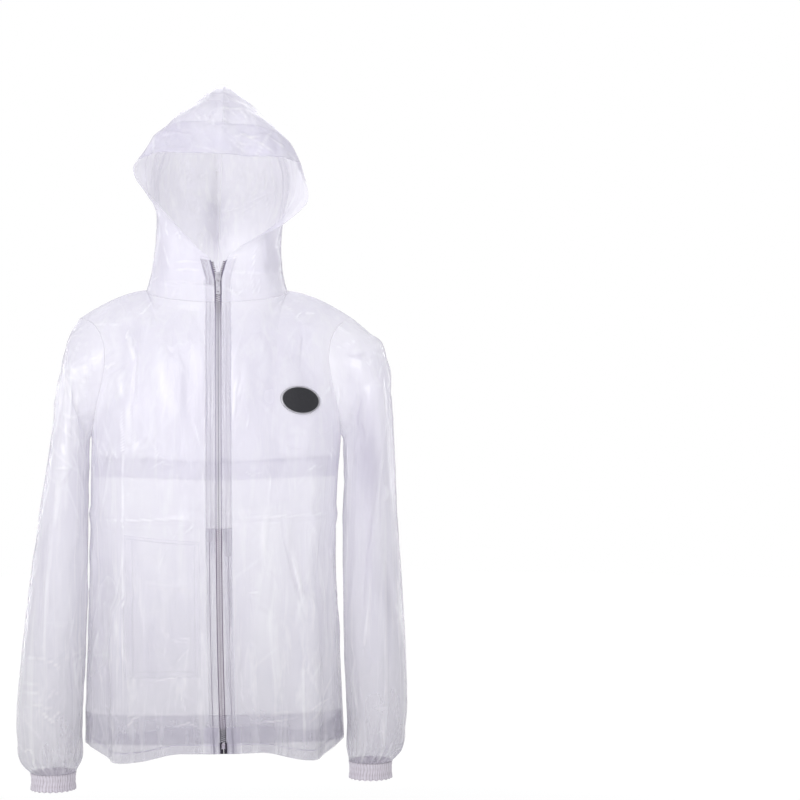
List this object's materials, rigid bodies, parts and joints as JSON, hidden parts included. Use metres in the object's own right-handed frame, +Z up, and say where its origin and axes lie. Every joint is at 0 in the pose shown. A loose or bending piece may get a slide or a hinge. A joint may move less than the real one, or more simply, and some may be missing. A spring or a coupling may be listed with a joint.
{
  "type": "hooded raincoat",
  "caption": "Clear hooded raincoat filled out as if worn, with a full zip, brimmed hood, long sleeves on elastic cuffs, patch pocket, vented upper back and dropped tail.",
  "frame": {"origin": "middle of the neck opening at shoulder height, where the wearer's shoulders hold the coat up", "axes": "+Z up towards the hood; -Y to the front, with the zip; +X to the wearer's left"},
  "size_m": [0.5824, 0.2672, 1.0477],
  "materials": {
    "clear_film": "clear frosted film",
    "zip_tape": "woven tape under the film",
    "zip_teeth": "satin",
    "zip_metal": "polished",
    "cuff_elastic": "shirred elastic",
    "badge_black": "satin"
  },
  "bodies": {
    "coat": {"back_panel": "clear_film", "back_vent_flap": "clear_film", "chest_badge": "badge_black", "cuff_left": "cuff_elastic", "cuff_right": "cuff_elastic", "front_panel_left": "clear_film", "front_panel_right": "clear_film", "hem_turning_back": "clear_film", "hem_turning_front_left": "clear_film", "hem_turning_front_right": "clear_film", "hood_brim": "clear_film", "hood_left": "clear_film", "hood_right": "clear_film", "patch_pocket": "clear_film", "sleeve_left": "clear_film", "sleeve_right": "clear_film", "vent_stud_centre": "clear_film", "vent_stud_left": "clear_film", "vent_stud_right": "clear_film", "zip_bottom_stop": "zip_metal", "zip_slider": "zip_metal", "zip_tape_left": "zip_tape", "zip_tape_right": "zip_tape", "zip_teeth_left": "zip_teeth", "zip_teeth_right": "zip_teeth"},
    "pull_tab": {"zip_pull_tab": "zip_metal"}
  },
  "joints": [
    {"name": "pull_tab_swing", "type": "hinge", "parent": "coat", "child": "pull_tab", "pos_m": [0.0012, -0.0757, 0.0175], "axis": [-1, 0, 0], "range_deg": [0, 170]}
  ]
}
